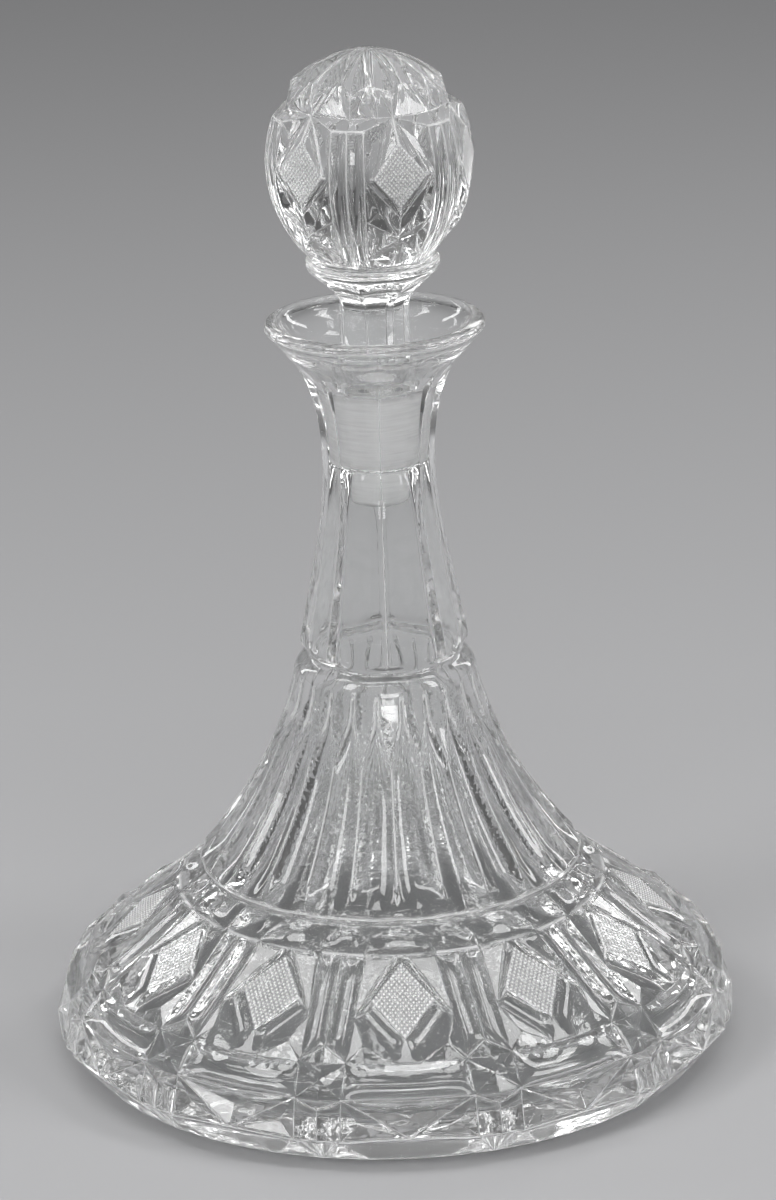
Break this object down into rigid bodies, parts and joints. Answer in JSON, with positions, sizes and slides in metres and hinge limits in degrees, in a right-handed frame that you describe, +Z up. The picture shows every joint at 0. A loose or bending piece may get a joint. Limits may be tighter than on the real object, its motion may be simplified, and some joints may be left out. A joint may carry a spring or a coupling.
{
  "type": "ships decanter",
  "caption": "Clear pressed-glass ships decanter with a broad low base, cross-hatched diamonds, fluted shoulder, panelled neck and a ground ball stopper that lifts out.",
  "frame": {"origin": "centre of the flat foot, on the surface the decanter stands on", "axes": "+Z up along the axis of the bottle, -Y towards the front, +X to the right of it"},
  "size_m": [0.1998, 0.1998, 0.295],
  "materials": {
    "clear_glass": "polished, with ground joint and matt cross-hatching"
  },
  "bodies": {
    "decanter": {"decanter_body": "clear_glass"},
    "stopper": {"stopper": "clear_glass"}
  },
  "joints": [
    {"name": "stopper_lift", "type": "slide", "parent": "decanter", "child": "stopper", "axis": [0, 0, 1], "range_m": [0, 0.08]}
  ]
}
